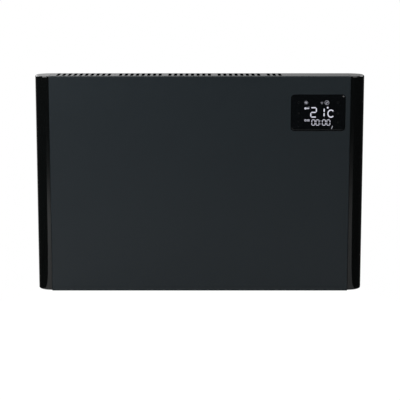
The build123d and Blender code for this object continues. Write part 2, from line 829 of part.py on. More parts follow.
def cap_screws():
    """Screws through both side plates into the end caps' bosses."""
    screws = []
    for side in (-1, 1):
        ends = sorted((side * chamber_half, side * (chamber_half - screw_head)))
        tip = sorted((side * (chamber_half - screw_head / 2), side * (chamber_half + cap_screw_length - 2)))
        for z in cap_screw_heights():
            screws.append(peg_x(screw_head_radius, *ends, mid_y, z) + peg_x(screw_radius, *tip, mid_y, z))
    return screws


def bracket_cross_rail():
    """Channel with two upturned hooks that pass through the rear panel's slots."""
    front = rear_y + bracket_play
    rail = block(-rail_half, rail_half, rail_web_front_y, wall_y - bracket_sheet, rail_bottom, rail_top)
    for low in (rail_bottom, rail_top - bracket_sheet):
        rail += block(-rail_half, rail_half, front, wall_y - bracket_sheet, low, low + bracket_sheet)
    nose_back = inner_rear_y - nose_play
    nose_front = nose_back - bracket_sheet
    for side in (-1, 1):
        low, high = side * hook_spacing / 2 - hook_width / 2, side * hook_spacing / 2 + hook_width / 2
        rail += block(low, high, nose_front, front + bracket_sheet, rail_top - bracket_sheet, rail_top)
        rail += block(low, high, nose_front, nose_back, rail_top - bracket_sheet, rail_top + nose_height)
    return rail - [peg_y(rivet_radius + rivet_hole_gap, rail_web_front_y - 1, wall_y, x, z)
                   for x, z in rivet_places()]


def rivet_places():
    z = (rail_top + rail_bottom) / 2
    return [(side * hook_spacing / 2 + way * rivet_spacing / 2, z) for side in (-1, 1) for way in (-1, 1)]


def bracket_upright(side):
    """Wall upright: web on the wall, side folds below the rail, and a folded foot for the buffer."""
    x = side * hook_spacing / 2
    low, high = x - upright_width / 2, x + upright_width / 2
    web = block(low, high, wall_y - bracket_sheet, wall_y, upright_bottom, rail_top + upright_top_tab)
    for edge in (low, high - bracket_sheet):
        web += block(edge, edge + bracket_sheet, wall_y - upright_flange, wall_y,
                     upright_bottom, rail_bottom - seam)
    lip_front = rear_y + upright_lip_gap
    web += block(low, high, lip_front, wall_y, upright_bottom, upright_bottom + bracket_sheet)
    web += block(low, high, lip_front, lip_front + bracket_sheet, upright_bottom, upright_bottom + upright_lip)
    holes = [rod_y(wall_hole_radius, wall_y - bracket_sheet - 1, wall_y + 1, x, z)
             for z in (lower_wall_hole_z, upper_wall_hole_z)]
    holes += [peg_y(rivet_radius + rivet_hole_gap, wall_y - bracket_sheet - 1, wall_y + 1, rx, rz)
              for rx, rz in rivet_places() if rx * side > 0]
    return web - holes


def bracket_rivets():
    return [peg_y(rivet_head_radius, rail_web_front_y - rivet_head, rail_web_front_y, x, z)
            + peg_y(rivet_radius, rail_web_front_y - rivet_head / 2, wall_y, x, z)
            for x, z in rivet_places()]


def bracket_buffers():
    """Rubber buffers that keep the heater's back off the uprights' feet."""
    z = upright_bottom + upright_lip - buffer_radius - bracket_sheet
    return [rod_y(buffer_radius, rear_y + buffer_gap, rear_y + upright_lip_gap, side * hook_spacing / 2, z)
            for side in (-1, 1)]


def mirrored(shape):
    return mirror(shape, Plane.YZ)


def save(name, shape):
    """Write one node; a list becomes a group of separate solids."""
    shapes = shape if isinstance(shape, list) else [shape]
    solids = [solid for each in shapes for solid in each.solids()]
    export_step(solids[0] if len(solids) == 1 else Compound(solids), f"parts/{name}.step")


(left_stand_x, left_way), (right_stand_x, right_way) = stand_places()
right_cap = end_cap()
right_plate = side_plate()

nodes = {
    "front_panel": front_panel(),
    "rear_panel": rear_panel(),
    "top_grille": top_grille(),
    "bottom_grille": bottom_grille(),
    "right_end_cap": right_cap,
    "left_end_cap": mirrored(right_cap),
    "right_side_plate": right_plate,
    "left_side_plate": mirrored(right_plate),
    "partition_plate": partition_plate(),
    "front_heat_shield": heat_shield(inner_front_y, 1),
    "rear_heat_shield": heat_shield(inner_rear_y, -1),
    "cover_strap": cover_strap(),
    "heating_element": heating_element(),
    "left_element_stand": element_stand(left_stand_x, left_way),
    "right_element_stand": element_stand(right_stand_x, right_way),
    "element_bushes": element_bushes(),
    "element_terminals": element_terminals(),
    "thermal_cutout": thermal_cutout(),
    "thermal_fuse": thermal_fuse(),
    "display_lens": display_lens(),
    "display_gasket": display_gasket(),
    "display_holder": display_holder(),
    "display_nuts": display_nuts(),
    "display_board": display_board(),
    "led_module": led_module(),
    "touch_pads": touch_pads(),
    "power_board": power_board(),
    "board_standoffs": board_standoffs(),
    "relays": relays(),
    "transformer": transformer(),
    "capacitors": capacitors(),
    "terminal_block": terminal_block(),
    "cord_inlet_bush": cord_inlet_bush(),
    "switch_body": switch_body(),
    "switch_rocker": switch_rocker(),
    "tip_over_switch": tip_over_switch(),
    "sensor_clip": sensor_clip(),
    "room_sensor": room_sensor(),
    "top_screw": top_screw(),
    "rear_screws": rear_screws(),
    "cap_screws": cap_screws(),
    "bracket_cross_rail": bracket_cross_rail(),
    "left_bracket_upright": bracket_upright(-1),
    "right_bracket_upright": bracket_upright(1),
    "bracket_rivets": bracket_rivets(),
    "bracket_buffers": bracket_buffers(),
}

for name, shape in nodes.items():
    save(name, shape)
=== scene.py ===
import json
import math

import bmesh
import bpy
from mathutils import Matrix, Vector


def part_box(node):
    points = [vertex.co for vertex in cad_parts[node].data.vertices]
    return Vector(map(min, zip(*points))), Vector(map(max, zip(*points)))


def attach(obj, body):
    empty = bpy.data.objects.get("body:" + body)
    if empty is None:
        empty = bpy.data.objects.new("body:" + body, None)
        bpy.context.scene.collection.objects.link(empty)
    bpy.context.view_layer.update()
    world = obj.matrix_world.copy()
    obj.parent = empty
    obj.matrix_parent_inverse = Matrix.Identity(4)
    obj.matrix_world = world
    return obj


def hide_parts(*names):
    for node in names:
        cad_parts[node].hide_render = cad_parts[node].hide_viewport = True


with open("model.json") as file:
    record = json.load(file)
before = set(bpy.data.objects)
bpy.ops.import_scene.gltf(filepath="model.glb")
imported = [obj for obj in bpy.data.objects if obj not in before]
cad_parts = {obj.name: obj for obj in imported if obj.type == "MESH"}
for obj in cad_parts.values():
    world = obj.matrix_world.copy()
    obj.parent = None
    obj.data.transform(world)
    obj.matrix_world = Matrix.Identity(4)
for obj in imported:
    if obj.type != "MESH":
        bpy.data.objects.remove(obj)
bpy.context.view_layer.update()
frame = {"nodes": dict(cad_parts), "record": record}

MM = 0.001

# Camera, solved from the photograph's outline in its 400 pixel frame
focal_pixels = 1435.0
frame_pixels = 400.0
sensor_mm = 36.0
camera_pitch = 0.1751
camera_above_top = 0.247
camera_before_front = 2.763
camera_x = 0.0005

# Finished colours, as linear values
panel_colour = (0.0116, 0.0164, 0.0198)
rear_colour = (0.0135, 0.0160, 0.0180)
cap_colour = (0.0022, 0.0027, 0.0027)
window_colour = (0.0020, 0.0026, 0.0032)
zinc_colour = (0.46, 0.47, 0.48)
zinc_dark, zinc_light = (0.40, 0.41, 0.43), (0.55, 0.56, 0.57)
ceramic_light, ceramic_speck = (0.74, 0.71, 0.64), (0.45, 0.42, 0.36)
laminate_dark, laminate_light = (0.012, 0.075, 0.030), (0.03, 0.16, 0.07)
sleeve_dark, sleeve_light = (0.55, 0.53, 0.48), (0.78, 0.76, 0.70)
lit_colour = (0.66, 0.66, 0.76)
unlit_colour = (0.0042, 0.0048, 0.0052)


class Socket:
    """A node's output, with arithmetic that adds Math nodes."""

    def __init__(self, nodes, source):
        self.nodes = nodes
        self.source = source

    def maths(self, operation, first, second):
        return self.nodes.node("ShaderNodeMath", {"operation": operation}, {0: first, 1: second})

    def __add__(self, other):
        return self.maths("ADD", self, other)

    def __radd__(self, other):
        return self.maths("ADD", other, self)

    def __sub__(self, other):
        return self.maths("SUBTRACT", self, other)

    def __rsub__(self, other):
        return self.maths("SUBTRACT", other, self)

    def __mul__(self, other):
        return self.maths("MULTIPLY", self, other)

    def __rmul__(self, other):
        return self.maths("MULTIPLY", other, self)

    def at_least(self, other):
        return self.maths("MAXIMUM", self, other)

    def above(self, edge):
        return self.maths("GREATER_THAN", self, edge)


class Nodes:
    """A node tree and the one method that adds nodes to it."""

    def __init__(self, tree):
        self.tree = tree

    def node(self, kind, settings, inputs, output=0):
        """Add a node, make its settings, then give its sockets their values or links."""
        made = self.tree.nodes.new(kind)
        for key, value in settings.items():
            setattr(made, key, value)
        for key, value in inputs.items():
            if isinstance(value, Socket):
                self.tree.links.new(value.source, made.inputs[key])
            else:
                made.inputs[key].default_value = value
        return Socket(self, made.outputs[output])


class Finish(Nodes):
    """One surface finish: its material and its main shader."""

    def __init__(self, name, colour, roughness, metallic=0.0, emission=None):
        self.material = bpy.data.materials.new(name)
        self.material.use_nodes = True
        super().__init__(self.material.node_tree)
        self.shader = self.tree.nodes["Principled BSDF"]
        self.colour = colour
        self.set("Base Color", (*colour, 1.0))
        self.set("Roughness", roughness)
        self.set("Metallic", metallic)
        if emission:
            self.set("Emission Color", (*emission, 1.0))
            self.set("Emission Strength", 1.0)
        self.place = self.node("ShaderNodeTexCoord", {}, {}, "Object")

    def set(self, name, value):
        """Give one of the shader's sockets a value or a link."""
        if isinstance(value, Socket):
            self.tree.links.new(value.source, self.shader.inputs[name])
        else:
            self.shader.inputs[name].default_value = value

    def mapped(self, inputs):
        """The surface's place, stretched or turned by the inputs of a Mapping node."""
        return self.node("ShaderNodeMapping", {"vector_type": "POINT"}, {"Vector": self.place, **inputs})

    def noise(self, size_mm, detail=3.0, roughness=0.55, place=None):
        """Noise from 0 to 1 whose features are about the given size."""
        return self.node("ShaderNodeTexNoise", {},
                         {"Vector": place or self.place, "Scale": 1.0 / (size_mm * MM),
                          "Detail": detail, "Roughness": roughness})

    def cells(self, size_mm):
        """A colour for each cell of about the given size."""
        return self.node("ShaderNodeTexVoronoi", {},
                         {"Vector": self.place, "Scale": 1.0 / (size_mm * MM)}, "Color")

    def blend(self, amount, low, high):
        """Colour that goes from low to high with an amount from 0 to 1."""
        return self.node("ShaderNodeMix", {"data_type": "RGBA"},
                         {0: amount, 6: (*low, 1.0), 7: (*high, 1.0)}, 2)

    def mottle(self, size_mm, share):
        """Vary the base colour a little from place to place."""
        low = [c * (1.0 - share) for c in self.colour]
        high = [c * (1.0 + share) for c in self.colour]
        self.set("Base Color", self.blend(self.noise(size_mm), low, high))

    def bump(self, height, strength, distance_mm):
        self.set("Normal", self.node("ShaderNodeBump", {}, {
            "Height": height, "Strength": strength, "Distance": distance_mm * MM}))

    def vary_roughness(self, field, low, high):
        self.set("Roughness", low + (high - low) * field)


def powder_coat(name, colour, roughness, grain_mm, strength, shine=0.5):
    """Satin powder coat: a fine pebbled skin with faint clouds in its tone."""
    finish = Finish(name, colour, roughness)
    finish.set("Specular IOR Level", shine)
    finish.mottle(60.0, 0.05)
    finish.vary_roughness(finish.noise(18.0, 4.0), roughness - 0.03, roughness + 0.03)
    finish.bump(finish.noise(grain_mm, 2.0), strength, 0.05)
    return finish.material


def gloss_moulding(name, colour, roughness):
    """Polished black plastic with faint handling haze."""
    finish = Finish(name, colour, roughness)
    finish.vary_roughness(finish.noise(35.0, 5.0, 0.6), roughness * 0.8, roughness * 1.35)
    finish.mottle(80.0, 0.05)
    finish.bump(finish.noise(14.0, 1.0), 0.012, 0.05)
    return finish.material


def textured_moulding(name, colour, roughness):
    """Spark-eroded plastic with an even fine grain."""
    finish = Finish(name, colour, roughness)
    finish.mottle(12.0, 0.06)
    finish.vary_roughness(finish.noise(3.0), roughness - 0.05, roughness + 0.06)
    finish.bump(finish.noise(0.35, 2.0), 0.35, 0.06)
    return finish.material


def zinc_plate(name):
    """Zinc plated sheet with soft spangles."""
    finish = Finish(name, zinc_colour, 0.38, metallic=1.0)
    tone = finish.node("ShaderNodeSeparateColor", {}, {0: finish.cells(9.0)})
    finish.set("Base Color", finish.blend(tone, zinc_dark, zinc_light))
    finish.vary_roughness(tone, 0.32, 0.48)
    finish.bump(finish.noise(0.8, 2.0), 0.12, 0.03)
    return finish.material


def rolled_aluminium(name, colour, roughness):
    """Bright rolled sheet with grain along the length."""
    finish = Finish(name, colour, roughness, metallic=1.0)
    grain = finish.noise(0.6, 3.0, 0.6, place=finish.mapped({"Scale": (0.04, 1.0, 1.0)}))
    finish.vary_roughness(grain, roughness - 0.08, roughness + 0.10)
    finish.set("Base Color", finish.blend(finish.noise(50.0), [c * 0.88 for c in colour], colour))
    finish.bump(grain, 0.10, 0.03)
    return finish.material


def machine_screw(name, colour, metallic, roughness):
    """Plated or blackened fastener, worn unevenly."""
    finish = Finish(name, colour, roughness, metallic=metallic)
    finish.mottle(1.5, 0.10)
    finish.vary_roughness(finish.noise(0.6), roughness - 0.06, roughness + 0.08)
    finish.bump(finish.noise(0.5, 2.0), 0.15, 0.02)
    return finish.material


def fired_ceramic(name):
    """Matt cream ceramic with dark specks."""
    finish = Finish(name, ceramic_light, 0.7)
    specks = finish.noise(0.7, 3.0).above(0.68)
    finish.set("Base Color", finish.blend(specks, ceramic_light, ceramic_speck))
    finish.bump(finish.noise(0.5), 0.3, 0.05)
    return finish.material


def circuit_laminate(name):
    """Green solder mask over a faint grid of tracks."""
    finish = Finish(name, laminate_dark, 0.32)
    upright = finish.mapped({"Rotation": (math.pi / 2, 0, 0)})
    tracks = finish.node("ShaderNodeTexBrick", {"offset": 0.5},
                         {"Vector": upright, "Scale": 90.0, "Mortar Size": 0.03}, 1)
    finish.set("Base Color", finish.blend(tracks, laminate_dark, laminate_light))
    finish.bump(tracks, 0.3, 0.03)
    return finish.material


def woven_sleeve(name):
    """Glass-fibre sleeve with slanting threads."""
    finish = Finish(name, sleeve_light, 0.85)
    wave = finish.node("ShaderNodeTexWave", {"wave_type": "BANDS", "bands_direction": "DIAGONAL"},
                       {"Vector": finish.place, "Scale": 600.0, "Distortion": 1.0}, 1)
    finish.set("Base Color", finish.blend(wave, sleeve_dark, sleeve_light))
    finish.bump(wave, 0.5, 0.1)
    return finish.material


def soft_rubber(name, colour):
    """Dull black rubber or foam."""
    finish = Finish(name, colour, 0.82)
    finish.mottle(4.0, 0.12)
    finish.bump(finish.noise(0.5, 3.0), 0.5, 0.08)
    return finish.material


def component_plastic(name, colour, roughness):
    """Moulded case of a small electrical component."""
    finish = Finish(name, colour, roughness)
    finish.mottle(6.0, 0.05)
    finish.bump(finish.noise(0.8, 2.0), 0.12, 0.04)
    return finish.material


def lit_mark(name, strength):
    """Lit segment: an even glow with a trace of diffuser grain."""
    colour = [c * strength for c in lit_colour]
    finish = Finish(name, (0.05, 0.05, 0.055), 0.4, emission=colour)
    finish.set("Emission Color", finish.blend(finish.noise(3.0), [c * 0.92 for c in colour], colour))
    return finish.material


def printed_mark(name, colour):
    """Thin print on gloss plastic."""
    finish = Finish(name, colour, 0.35)
    finish.mottle(2.0, 0.08)
    return finish.material


# Each row has a finish's name, its maker and what that maker takes after the name
recipes = (
    ("front_panel_paint", powder_coat, panel_colour, 0.40, 0.9, 0.10, 0.3),
    ("top_cover_paint", powder_coat, panel_colour, 0.17, 0.9, 0.03),
    ("rear_panel_paint", powder_coat, rear_colour, 0.50, 0.7, 0.22),
    ("bracket_paint", powder_coat, rear_colour, 0.46, 0.7, 0.22),
    ("end_cap_plastic", gloss_moulding, cap_colour, 0.09),
    ("display_gloss", gloss_moulding, window_colour, 0.07),
    ("rocker_gloss", gloss_moulding, (0.006, 0.006, 0.007), 0.16),
    ("zinc_sheet", zinc_plate),
    ("bright_shield", rolled_aluminium, (0.66, 0.66, 0.67), 0.30),
    ("element_aluminium", rolled_aluminium, (0.56, 0.56, 0.56), 0.42),
    ("bush_ceramic", fired_ceramic),
    ("cutout_body", textured_moulding, (0.035, 0.026, 0.022), 0.55),
    ("fuse_sleeve", woven_sleeve),
    ("foam_gasket", soft_rubber, (0.016, 0.016, 0.017)),
    ("buffer_rubber", soft_rubber, (0.012, 0.012, 0.013)),
    ("moulded_black", textured_moulding, (0.011, 0.011, 0.012), 0.55),
    ("board_laminate", circuit_laminate),
    ("led_white", component_plastic, (0.62, 0.62, 0.64), 0.4),
    ("standoff_nylon", component_plastic, (0.62, 0.61, 0.56), 0.5),
    ("relay_case", component_plastic, (0.012, 0.05, 0.19), 0.3),
    ("transformer_core", component_plastic, (0.50, 0.36, 0.05), 0.45),
    ("capacitor_sleeve", component_plastic, (0.015, 0.015, 0.04), 0.3),
    ("sensor_bead", component_plastic, (0.02, 0.02, 0.02), 0.25),
    ("screw_steel", machine_screw, (0.52, 0.52, 0.53), 1.0, 0.30),
    ("screw_black", machine_screw, (0.018, 0.018, 0.019), 0.6, 0.42),
    ("lit_bright", lit_mark, 1.0),
    ("lit_middle", lit_mark, 0.78),
    ("lit_soft", lit_mark, 0.45),
    ("lit_dim", lit_mark, 0.28),
    ("touch_print", printed_mark, unlit_colour),
    ("rocker_print", printed_mark, (0.60, 0.60, 0.60)),
)
finishes = {name: maker(name, *values) for name, maker, *values in recipes}
slot_of = {part["node"]: part["material_slot"] for part in frame["record"]["subparts"]}

# How meshes are merged, shaded and eased
merge_distance = 0.002 * MM
flat_degrees = 0.3
skin_crease_degrees = 32.0
block_crease_degrees = 15.0
head_crease_degrees = 38.0
eased_corner_degrees = 50.0
eased_corner_steps = 2


def new_piece(name, build):
    """Object at the origin whose mesh is built by a function that fills a bmesh."""
    shape = bmesh.new()
    build(shape)
    mesh = bpy.data.meshes.new(name)
    shape.to_mesh(mesh)
    shape.free()
    piece = bpy.data.objects.new(name, mesh)
    bpy.context.scene.collection.objects.link(piece)
    return piece


def dress(piece, finish, slot, body, *nodes):
    """Give a new piece its finish, its body and the nodes that it stands for. The slot is not used."""
    piece.data.materials.append(finishes[finish])
    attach(piece, body)
    if nodes:
        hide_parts(*nodes)


def finish_nodes():
    """Give every carried-over node its finish."""
    for name, node in frame["nodes"].items():
        node.data.materials.clear()
        node.data.materials.append(finishes[slot_of[name]])


def merged_copy(shape, node):
    """Fill a bmesh with a node's mesh, its corners merged and its flat faces joined."""
    shape.from_mesh(frame["nodes"][node].data)
    bmesh.ops.remove_doubles(shape, verts=shape.verts, dist=merge_distance)
    bmesh.ops.dissolve_limit(shape, angle_limit=math.radians(flat_degrees), verts=shape.verts,
                             edges=shape.edges, delimit={"NORMAL"})


def shade(shape, crease_degrees):
    """Smooth shading over the curved faces, broken at the sharp edges."""
    for face in shape.faces:
        face.smooth = True
    for edge in shape.edges:
        edge.smooth = edge.is_manifold and edge.calc_face_angle() < math.radians(crease_degrees)


def smooth_skin(node, body, edge_mm=0.0):
    """Copy of a node that is shaded smooth, with its sharp edges eased."""
    def build(shape):
        merged_copy(shape, node)
        shade(shape, skin_crease_degrees)

    piece = new_piece(node + "_skin", build)
    if edge_mm:
        ease = piece.modifiers.new("eased_edges", "BEVEL")
        ease.limit_method = "ANGLE"
        ease.angle_limit = math.radians(eased_corner_degrees)
        ease.width = edge_mm * MM
        ease.segments = eased_corner_steps
    piece.modifiers.new("even_normals", "WEIGHTED_NORMAL").keep_sharp = True
    dress(piece, slot_of[node], slot_of[node], body, node)


# The display window, in the front panel's opening
panel_low, panel_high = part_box("front_panel")
lens_low, lens_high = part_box("display_lens")
lens_flange = 3.0 * MM
window_corner = 7.0 * MM
window_corner_steps = 8
window_left, window_right = lens_low.x + lens_flange, lens_high.x - lens_flange
window_bottom, window_top = lens_low.z + lens_flange, lens_high.z - lens_flange
ledge_depth = 0.9 * MM
ledge_slope_width = 1.6 * MM
glass_inset = 1.85 * MM
glass_edge = 0.7 * MM
glass_front = panel_low.y + 0.3 * MM


def rounded_block(shape, inset, front_y, back_y):
    """Fill a bmesh with a block of the window's outline, drawn in by an inset; gives back its front face."""
    across = (window_right - window_left) / 2 - inset
    upward = (window_top - window_bottom) / 2 - inset
    centre = Vector(((window_left + window_right) / 2, back_y, (window_top + window_bottom) / 2))
    corners = bmesh.ops.create_grid(shape, x_segments=1, y_segments=1, size=1.0)["verts"]
    upright = Matrix.Rotation(math.pi / 2, 4, "X")
    size = Matrix.Diagonal((across, upward, 1.0, 1.0))
    bmesh.ops.transform(shape, verts=corners, matrix=Matrix.Translation(centre) @ upright @ size)
    bmesh.ops.bevel(shape, geom=corners, offset=window_corner - inset, affect="VERTICES",
                    segments=window_corner_steps, profile=0.5, material=-1)
    raised = bmesh.ops.extrude_face_region(shape, geom=list(shape.faces))["geom"]
    moved = [v for v in raised if isinstance(v, bmesh.types.BMVert)]
    bmesh.ops.translate(shape, verts=moved, vec=(0, front_y - back_y, 0))
    bmesh.ops.recalc_face_normals(shape, faces=shape.faces)
    return next(f for f in raised if isinstance(f, bmesh.types.BMFace))


def window_surround(shape):
    """Moulding behind the glass. Its flat ledge shows in the opening, and its rim is inside the sheet."""
    rim = rounded_block(shape, -lens_flange, panel_low.y, lens_high.y)
    bmesh.ops.inset_region(shape, faces=[rim], thickness=ledge_slope_width, depth=-ledge_depth,
                           use_even_offset=True)
    shade(shape, block_crease_degrees)


def window_glass(shape):
    """Flat gloss window with a slim bevel, which stands on the ledge."""
    face = rounded_block(shape, glass_inset, glass_front + glass_edge / 2, panel_low.y + ledge_depth)
    bmesh.ops.inset_region(shape, faces=[face], thickness=glass_edge, depth=glass_edge / 2,
                           use_even_offset=True)
    shade(shape, block_crease_degrees)


# Marks, drawn flat in millimetres to the right and down
disc_sides = 20
band_step_degrees = 14
segment_tip_reach = 0.2
segment_tip_cut = 0.45
mark_thickness_mm = 0.08


def bar(shape, x, y, width, height, cut=0.0, lean=0.0):
    """Flat bar centred on a point, turned by some degrees, with its corners cut."""
    corners = bmesh.ops.create_grid(shape, x_segments=1, y_segments=1, size=0.5)["verts"]
    place = Matrix.Translation((x, y, 0)) @ Matrix.Rotation(math.radians(lean), 4, "Z")
    bmesh.ops.transform(shape, verts=corners, matrix=place @ Matrix.Diagonal((width, height, 1, 1)))
    if cut:
        bmesh.ops.bevel(shape, geom=corners, offset=cut, affect="VERTICES", segments=1,
                        profile=0.5, material=-1)


def disc(shape, x, y, radius):
    """Flat disc about a point."""
    bmesh.ops.create_circle(shape, cap_ends=True, segments=disc_sides, radius=radius,
                            matrix=Matrix.Translation((x, y, 0)))


def band(shape, x, y, radius, width, start, sweep, tall=1.0):
    """Band along part of a circle, in degrees from the right and turning down."""
    before = set(shape.verts)
    turn = Matrix.Rotation(math.radians(start), 4, "Z")
    ends = [shape.verts.new(turn @ Vector((radius + side * width / 2, 0, 0))) for side in (-1, 1)]
    edge = shape.edges.new(ends)
    steps = max(4, round(sweep / band_step_degrees))
    bmesh.ops.spin(shape, geom=[*ends, edge], cent=(0, 0, 0), axis=(0, 0, 1),
                   angle=math.radians(sweep), steps=steps, use_merge=sweep >= 360)
    added = [v for v in shape.verts if v not in before]
    place = Matrix.Translation((x, y, 0)) @ Matrix.Diagonal((1, tall, 1, 1))
    bmesh.ops.transform(shape, verts=added, matrix=place)


segments_lit = {"0": "abcdef", "1": "bc", "2": "abged"}


def digit(shape, name, left, top, width, height, stroke, gap):
    """Seven-segment digit in a box."""
    across, down = width - stroke, (height - stroke) / 2
    middle_x, middle_y = left + width / 2, top + height / 2
    places = {
        "a": (0, -down, True), "g": (0, 0, True), "d": (0, down, True),
        "f": (-across / 2, -down / 2, False), "b": (across / 2, -down / 2, False),
        "e": (-across / 2, down / 2, False), "c": (across / 2, down / 2, False),
    }
    for segment in segments_lit[name]:
        x, y, level = places[segment]
        length = (across if level else down) - 2 * gap + stroke * segment_tip_reach
        size = (length, stroke) if level else (stroke, length)
        bar(shape, middle_x + x, middle_y + y, *size, cut=stroke * segment_tip_cut)


def temperature_digits(shape):
    """The large 21."""
    digit(shape, "2", 37.5, 24.2, 12.7, 20.2, 2.1, 0.75)
    digit(shape, "1", 51.0, 24.7, 14.4, 19.6, 2.4, 1.1)


def degree_mark(shape):
    """Small dot and a round-backed C."""
    disc(shape, 71.0, 25.1, 1.8)
    band(shape, 77.5, 36.7, 5.9, 2.0, 42, 276, tall=1.17)


def clock_digits(shape):
    """Four small zeros."""
    for left in (39.9, 48.1, 60.4, 69.1):
        digit(shape, "0", left, 48.1, 7.4, 11.9, 1.4, 0.55)


def clock_colon(shape):
    """Two dots between the zeros."""
    for down in (51.0, 56.6):
        disc(shape, 58.0, down, 0.8)


def small_pictograms(shape):
    """A lying thermometer beside the temperature and a dial with dashes beside the clock."""
    disc(shape, 28.0, 26.6, 2.2)
    bar(shape, 32.2, 26.8, 6.4, 1.9, cut=0.6)
    for right in (31.2, 33.1, 35.0):
        bar(shape, right, 24.4, 0.8, 1.2)
    band(shape, 28.2, 49.8, 1.6, 1.0, 0, 360)
    for down in (48.8, 50.9):
        bar(shape, 33.8, down, 5.4, 1.2)


def dim_pictograms(shape):
    """Sun, the vane and the small slanted bar."""
    sun_x, sun_y = 29.2, 15.4
    disc(shape, sun_x, sun_y, 1.9)
    for angle in range(0, 360, 45):
        ray = Matrix.Rotation(math.radians(angle), 4, "Z") @ Vector((3.1, 0, 0))
        bar(shape, sun_x + ray.x, sun_y + ray.y, 1.2, 0.9, lean=angle)
    bar(shape, 70.1, 14.6, 4.8, 1.5, cut=0.5, lean=-28)
    bar(shape, 68.3, 17.0, 2.6, 1.2, cut=0.4, lean=-28)
    bar(shape, 79.9, 63.6, 1.4, 6.6, cut=0.4, lean=21)


def faint_pictograms(shape):
    """Signal fan and the vane's ring."""
    band(shape, 69.4, 15.4, 3.9, 1.1, 0, 360)
    for radius in (1.9, 3.6):
        band(shape, 59.8, 18.2, radius, 0.9, -135, 90)
    disc(shape, 59.8, 17.8, 0.8)


def touch_marks(shape):
    """Unlit key marks: power ring, bars and two arrows at the left, and ring, bars and plus at the right."""
    left, right, line = 15.2, 90.9, 0.5
    band(shape, left, 15.2, 2.0, line, -60, 300)
    bar(shape, left, 13.6, line, 2.4)
    band(shape, right, 15.5, 1.9, line, 0, 360)
    for down in (34.8, 36.4, 38.0):
        bar(shape, left, down, 4.0, line)
        bar(shape, right, down, 4.0, line)
    for side in (-1, 1):
        bar(shape, left + side * 0.9, 52.4, 2.6, line, lean=side * 40)
        bar(shape, left + side * 0.9, 61.8, 2.6, line, lean=-side * 40)
    bar(shape, right, 54.6, 4.0, line)
    for side in (-1, 1):
        bar(shape, right, 54.6 + side * 1.2, line, 1.6)


def laid_marks(draw, place):
    """Builder that draws flat marks, thickens them and lays them on a surface."""
    def build(shape):
        draw(shape)
        raised = bmesh.ops.extrude_face_region(shape, geom=list(shape.faces))["geom"]
        moved = [v for v in raised if isinstance(v, bmesh.types.BMVert)]
        bmesh.ops.translate(shape, verts=moved, vec=(0, 0, -mark_thickness_mm))
        bmesh.ops.transform(shape, verts=shape.verts, matrix=place @ Matrix.Diagonal((MM, MM, MM, 1)))
        bmesh.ops.recalc_face_normals(shape, faces=shape.faces)
    return build


def make_display():
    """The surround, the glass and the marks, which start from the window's upper left corner."""
    dress(new_piece("window_surround", window_surround), "display_gloss", "display_gloss", "casing",
          "display_lens")
    dress(new_piece("window_glass", window_glass), "display_gloss", "display_gloss", "casing")
    marks = (
        (temperature_digits, "lit_bright"), (degree_mark, "lit_bright"), (clock_digits, "lit_middle"),
        (clock_colon, "lit_soft"), (small_pictograms, "lit_middle"), (dim_pictograms, "lit_soft"),
        (faint_pictograms, "lit_dim"), (touch_marks, "touch_print"),
    )
    corner = Matrix.Translation((window_left, glass_front, window_top))
    upright = Matrix.Rotation(-math.pi / 2, 4, "X")
    for draw, finish in marks:
        build = laid_marks(draw, corner @ upright)
        dress(new_piece(draw.__name__, build), finish, "display_gloss", "casing")


# The rocker's marks, on the faces that look at least this far to the rear
rear_facing = 0.8


def on_mark(shape):
    """Upright bar."""
    bar(shape, 0, 0, 0.9, 3.4)


def off_mark(shape):
    """Ring."""
    band(shape, 0, 0, 1.5, 0.7, 0, 360)


def rocker_faces():
    """Middle and outward direction of the rocker's two broad faces, the lower one first."""
    shape = bmesh.new()
    merged_copy(shape, "switch_rocker")
    outer = [f for f in shape.faces if f.normal.y > rear_facing]
    broad = sorted(outer, key=lambda f: f.calc_area())[-2:]
    places = sorted(((f.calc_center_bounds(), f.normal.copy()) for f in broad), key=lambda p: p[0].z)
    shape.free()
    return places


def make_rocker_marks():
    """Off's ring on the rocker's lower face and on's bar on its upper face."""
    for draw, (middle, outward) in zip((off_mark, on_mark), rocker_faces()):
        turn = (-outward).to_track_quat("Z", "Y").to_matrix().to_4x4()
        build = laid_marks(draw, Matrix.Translation(middle) @ turn)
        dress(new_piece(draw.__name__, build), "rocker_print", "rocker_gloss", "power_rocker")


# Fasteners
ring_sides = 24
pan_head_height = 1.8 * MM
flat_head_height = 0.6 * MM
rivet_head_height = 1.0 * MM
pan_shank_share = 0.45
flat_shank_share = 0.5
rivet_shank_share = 0.55
screw_turn = 0.7
cross_arm_share = 0.52
cross_half_share = 0.13
cross_depth_share = 0.6
cross_taper = 0.7

# Rings of a head, each as a rise in shares of the head's height and a size against the ring before
pan_head_rings = ((0.5, 1.0), (0.3, 0.93), (0.2, 0.80))
flat_head_rings = ((1.0, 1.0),)
rivet_head_rings = ((0.4, 1.0), (0.35, 0.88), (0.25, 0.6), (0.0, 0.55), (-0.6, 0.9))


def solids_of(node):
    """Lowest and highest corner of each separate solid of a node."""
    shape = bmesh.new()
    shape.from_mesh(frame["nodes"][node].data)
    bmesh.ops.remove_doubles(shape, verts=shape.verts, dist=merge_distance)
    waiting = set(shape.verts)
    boxes = []
    while waiting:
        reached = [waiting.pop()]
        for vert in reached:
            for edge in vert.link_edges:
                other = edge.other_vert(vert)
                if other in waiting:
                    waiting.discard(other)
                    reached.append(other)
        low = Vector([min(vert.co[i] for vert in reached) for i in range(3)])
        high = Vector([max(vert.co[i] for vert in reached) for i in range(3)])
        boxes.append((low, high))
    shape.free()
    return sorted(boxes, key=lambda box: tuple(round(c, 5) for c in box[0]))


